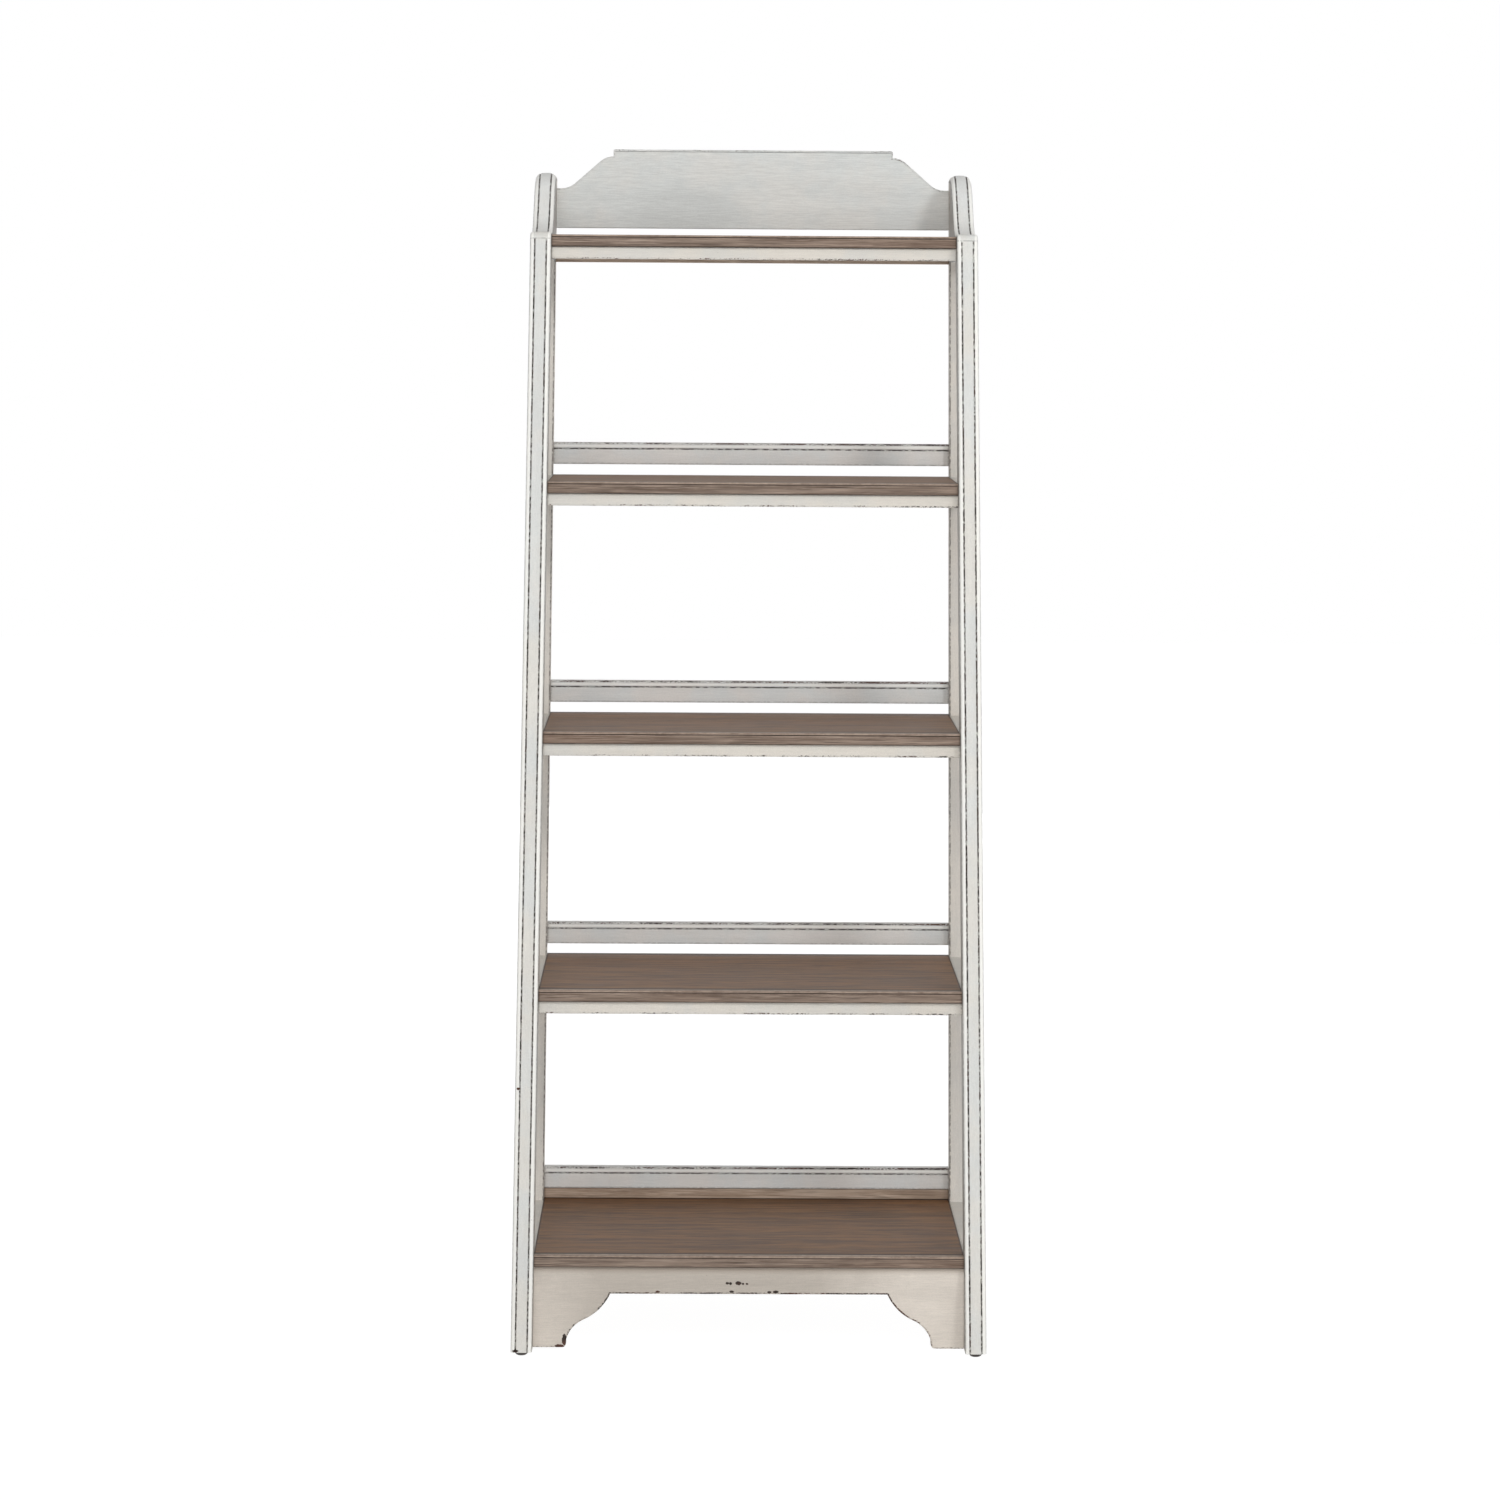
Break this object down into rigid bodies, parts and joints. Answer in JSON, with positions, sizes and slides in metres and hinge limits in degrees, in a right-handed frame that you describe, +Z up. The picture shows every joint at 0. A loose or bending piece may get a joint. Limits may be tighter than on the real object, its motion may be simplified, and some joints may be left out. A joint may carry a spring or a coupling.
{
  "type": "ladder shelf",
  "caption": "Free-standing ladder shelf with leaning front stiles, open sides and back, wood boards, gallery rails, a shaped crest and a scalloped apron.",
  "frame": {"origin": "on the floor, under the middle of the bounding box", "axes": "+Z up, -Y towards the front, +X to the right as seen from the front"},
  "size_m": [0.762, 0.483, 1.93],
  "materials": {
    "antique_white": "satin antique-white paint, brown glaze in the grooves and rubbed edges",
    "shelf_wood": "satin grey-brown stain, grain along the board",
    "bare_wood": "unfinished",
    "glide_plastic": "matte dark brown",
    "insert_steel": "zinc plated"
  },
  "bodies": {
    "frame": {"apron": "antique_white", "base_back_strip": "shelf_wood", "crest_panel": "antique_white", "dowel_2_left": "bare_wood", "dowel_2_right": "bare_wood", "dowel_3_left": "bare_wood", "dowel_3_right": "bare_wood", "dowel_4_left": "bare_wood", "dowel_4_right": "bare_wood", "dowel_5_left": "bare_wood", "dowel_5_right": "bare_wood", "front_rail_2": "antique_white", "front_rail_3": "antique_white", "front_rail_4": "antique_white", "front_rail_5": "antique_white", "gallery_rail_1": "antique_white", "gallery_rail_2": "antique_white", "gallery_rail_3": "antique_white", "gallery_rail_4": "antique_white", "insert_back_left": "insert_steel", "insert_back_right": "insert_steel", "insert_front_left": "insert_steel", "insert_front_right": "insert_steel", "left_back_leg": "antique_white", "left_ear_panel": "antique_white", "left_front_stile": "antique_white", "left_glue_block": "bare_wood", "left_side_rail_1": "antique_white", "left_side_rail_2": "antique_white", "left_side_rail_3": "antique_white", "left_side_rail_4": "antique_white", "rear_rail_1": "shelf_wood", "rear_rail_2": "shelf_wood", "rear_rail_3": "shelf_wood", "rear_rail_4": "shelf_wood", "rear_rail_5": "shelf_wood", "right_back_leg": "antique_white", "right_ear_panel": "antique_white", "right_front_stile": "antique_white", "right_glue_block": "bare_wood", "right_side_rail_1": "antique_white", "right_side_rail_2": "antique_white", "right_side_rail_3": "antique_white", "right_side_rail_4": "antique_white", "shelf_board_1": "shelf_wood", "shelf_board_2": "shelf_wood", "shelf_board_3": "shelf_wood", "shelf_board_4": "shelf_wood", "shelf_board_5": "shelf_wood", "shelf_nosing_1": "shelf_wood", "shelf_nosing_2": "shelf_wood", "shelf_nosing_3": "shelf_wood", "shelf_nosing_4": "shelf_wood", "shelf_nosing_5": "shelf_wood"},
    "glide_front_left": {"glide_front_left": "glide_plastic"},
    "glide_back_left": {"glide_back_left": "glide_plastic"},
    "glide_front_right": {"glide_front_right": "glide_plastic"},
    "glide_back_right": {"glide_back_right": "glide_plastic"}
  },
  "joints": [
    {"name": "leveller_front_left", "type": "slide", "parent": "frame", "child": "glide_front_left", "axis": [0, 0, -1], "range_m": [0, 0.01]},
    {"name": "leveller_back_left", "type": "slide", "parent": "frame", "child": "glide_back_left", "axis": [0, 0, -1], "range_m": [0, 0.01]},
    {"name": "leveller_front_right", "type": "slide", "parent": "frame", "child": "glide_front_right", "axis": [0, 0, -1], "range_m": [0, 0.01]},
    {"name": "leveller_back_right", "type": "slide", "parent": "frame", "child": "glide_back_right", "axis": [0, 0, -1], "range_m": [0, 0.01]}
  ]
}
